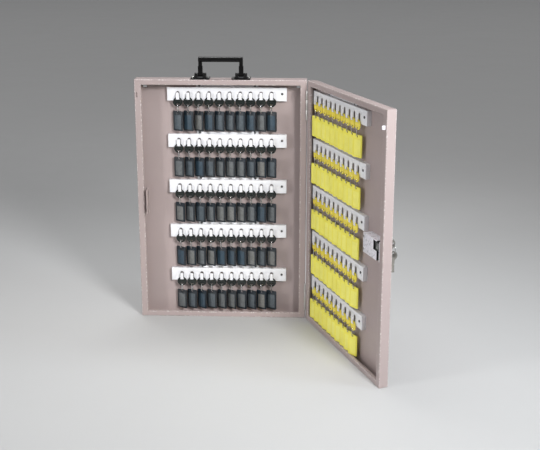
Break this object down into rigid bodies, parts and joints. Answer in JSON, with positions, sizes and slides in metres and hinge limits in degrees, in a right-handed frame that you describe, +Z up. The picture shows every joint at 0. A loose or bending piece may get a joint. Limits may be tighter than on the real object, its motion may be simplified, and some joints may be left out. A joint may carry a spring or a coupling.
{
  "type": "key cabinet",
  "caption": "Portable two-tray steel key cabinet: hinged door, hook bars with hanging key holders in both trays, folding carrying handle and cylinder lock.",
  "frame": {"origin": "centre of the body tray's base, midway between its front rim and its back", "axes": "+Z up, -Y out of the body's open front, +X towards the hinge side"},
  "size_m": [0.5611, 0.3868, 0.603],
  "materials": {
    "shell_paint": "satin warm grey powder coat",
    "bar_paint": "semi-gloss white paint",
    "holder_black": "moulded, semi-gloss",
    "holder_yellow": "moulded, semi-gloss",
    "tag_dark": "moulded, fine texture",
    "tag_yellow": "moulded, fine texture",
    "wire_steel": "nickel-plated wire",
    "handle_black": "moulded, fine grain",
    "screw_steel": "zinc plated",
    "hinge_steel": "zinc plated",
    "lock_zinc": "bright zinc",
    "lock_steel": "plated",
    "lock_chrome": "polished",
    "lock_brass": "plain",
    "key_nickel": "nickel plated"
  },
  "bodies": {
    "body": {"body_shell": "shell_paint", "hinge_body_leaves": "hinge_steel", "hinge_pins": "hinge_steel", "lock_strike": "lock_zinc", "handle_bases": "handle_black", "handle_screws": "screw_steel", "body_bar_screws": "screw_steel", "body_hook_bar_1": "bar_paint", "body_hook_bar_2": "bar_paint", "body_hook_bar_3": "bar_paint", "body_hook_bar_4": "bar_paint", "body_hook_bar_5": "bar_paint"},
    "door": {"door_shell": "shell_paint", "hinge_door_leaves": "hinge_steel", "locating_tab": "hinge_steel", "lock_case": "lock_zinc", "lock_screws": "screw_steel", "lock_barrel": "lock_chrome", "door_bar_screws": "screw_steel", "door_hook_bar_1": "bar_paint", "door_hook_bar_2": "bar_paint", "door_hook_bar_3": "bar_paint", "door_hook_bar_4": "bar_paint", "door_hook_bar_5": "bar_paint"},
    "handle": {"handle_bail": "handle_black"},
    "bolt": {"lock_bolt": "lock_steel"},
    "plug": {"lock_plug": "lock_brass"},
    "key": {"lock_key": "key_nickel"},
    "ring": {"key_ring": "wire_steel"},
    "spare": {"spare_key": "key_nickel"},
    "body_holders_1": {"body_rings_1": "holder_black", "body_links_1": "wire_steel", "body_tags_1": "tag_dark"},
    "body_holders_2": {"body_rings_2": "holder_black", "body_links_2": "wire_steel", "body_tags_2": "tag_dark"},
    "body_holders_3": {"body_rings_3": "holder_black", "body_links_3": "wire_steel", "body_tags_3": "tag_dark"},
    "body_holders_4": {"body_rings_4": "holder_black", "body_links_4": "wire_steel", "body_tags_4": "tag_dark"},
    "body_holders_5": {"body_rings_5": "holder_black", "body_links_5": "wire_steel", "body_tags_5": "tag_dark"},
    "door_holders_1": {"door_rings_1": "holder_yellow", "door_links_1": "wire_steel", "door_tags_1": "tag_yellow"},
    "door_holders_2": {"door_rings_2": "holder_yellow", "door_links_2": "wire_steel", "door_tags_2": "tag_yellow"},
    "door_holders_3": {"door_rings_3": "holder_yellow", "door_links_3": "wire_steel", "door_tags_3": "tag_yellow"},
    "door_holders_4": {"door_rings_4": "holder_yellow", "door_links_4": "wire_steel", "door_tags_4": "tag_yellow"},
    "door_holders_5": {"door_rings_5": "holder_yellow", "door_links_5": "wire_steel", "door_tags_5": "tag_yellow"}
  },
  "joints": [
    {"name": "door_hinge", "type": "hinge", "parent": "body", "child": "door", "pos_m": [0.1905, -0.018, 0.2775], "axis": [0, 0, 1], "range_deg": [-112.5, 67.5]},
    {"name": "handle_fold", "type": "hinge", "parent": "body", "child": "handle", "pos_m": [0, 0, 0.5635], "axis": [1, 0, 0], "range_deg": [-90, 90]},
    {"name": "plug_turn", "type": "hinge", "parent": "door", "child": "plug", "pos_m": [0.33439, -0.3118, 0.277], "axis": [0.9239, 0.3827, 0], "range_deg": [0, 90]},
    {"name": "bolt_slide", "type": "slide", "parent": "door", "child": "bolt", "axis": [0.3827, -0.9239, 0], "range_m": [0, 0.009]},
    {"name": "key_slide", "type": "slide", "parent": "plug", "child": "key", "axis": [0.9239, 0.3827, 0], "range_m": [0, 0.014]},
    {"name": "ring_swing", "type": "hinge", "parent": "key", "child": "ring", "pos_m": [0.3621, -0.30032, 0.277], "axis": [0.3827, -0.9239, 0], "range_deg": [-15, 25]},
    {"name": "spare_swing", "type": "hinge", "parent": "ring", "child": "spare", "pos_m": [0.3621, -0.30032, 0.2575], "axis": [0.3827, -0.9239, 0], "range_deg": [-10, 20]},
    {"name": "body_row_1_swing", "type": "hinge", "parent": "body", "child": "body_holders_1", "pos_m": [0.0122, 0.00375, 0.5092], "axis": [-1, 0, 0], "range_deg": [-2.5, 4]},
    {"name": "body_row_2_swing", "type": "hinge", "parent": "body", "child": "body_holders_2", "pos_m": [0.0122, 0.00375, 0.4033], "axis": [-1, 0, 0], "range_deg": [-2.5, 4]},
    {"name": "body_row_3_swing", "type": "hinge", "parent": "body", "child": "body_holders_3", "pos_m": [0.0122, 0.00375, 0.2974], "axis": [-1, 0, 0], "range_deg": [-2.5, 4]},
    {"name": "body_row_4_swing", "type": "hinge", "parent": "body", "child": "body_holders_4", "pos_m": [0.0122, 0.00375, 0.1915], "axis": [-1, 0, 0], "range_deg": [-2.5, 4]},
    {"name": "body_row_5_swing", "type": "hinge", "parent": "body", "child": "body_holders_5", "pos_m": [0.0122, 0.00375, 0.0856], "axis": [-1, 0, 0], "range_deg": [-2.5, 4]},
    {"name": "door_row_1_swing", "type": "hinge", "parent": "door", "child": "door_holders_1", "pos_m": [0.25249, -0.15003, 0.5092], "axis": [-0.3827, 0.9239, 0], "range_deg": [-2.5, 4]},
    {"name": "door_row_2_swing", "type": "hinge", "parent": "door", "child": "door_holders_2", "pos_m": [0.25249, -0.15003, 0.4033], "axis": [-0.3827, 0.9239, 0], "range_deg": [-2.5, 4]},
    {"name": "door_row_3_swing", "type": "hinge", "parent": "door", "child": "door_holders_3", "pos_m": [0.25249, -0.15003, 0.2974], "axis": [-0.3827, 0.9239, 0], "range_deg": [-2.5, 4]},
    {"name": "door_row_4_swing", "type": "hinge", "parent": "door", "child": "door_holders_4", "pos_m": [0.25249, -0.15003, 0.1915], "axis": [-0.3827, 0.9239, 0], "range_deg": [-2.5, 4]},
    {"name": "door_row_5_swing", "type": "hinge", "parent": "door", "child": "door_holders_5", "pos_m": [0.25249, -0.15003, 0.0856], "axis": [-0.3827, 0.9239, 0], "range_deg": [-2.5, 4]}
  ],
  "couplings": [
    {"joint": "bolt_slide", "follows": "plug_turn", "m_per_rad": 0.0057296}
  ]
}
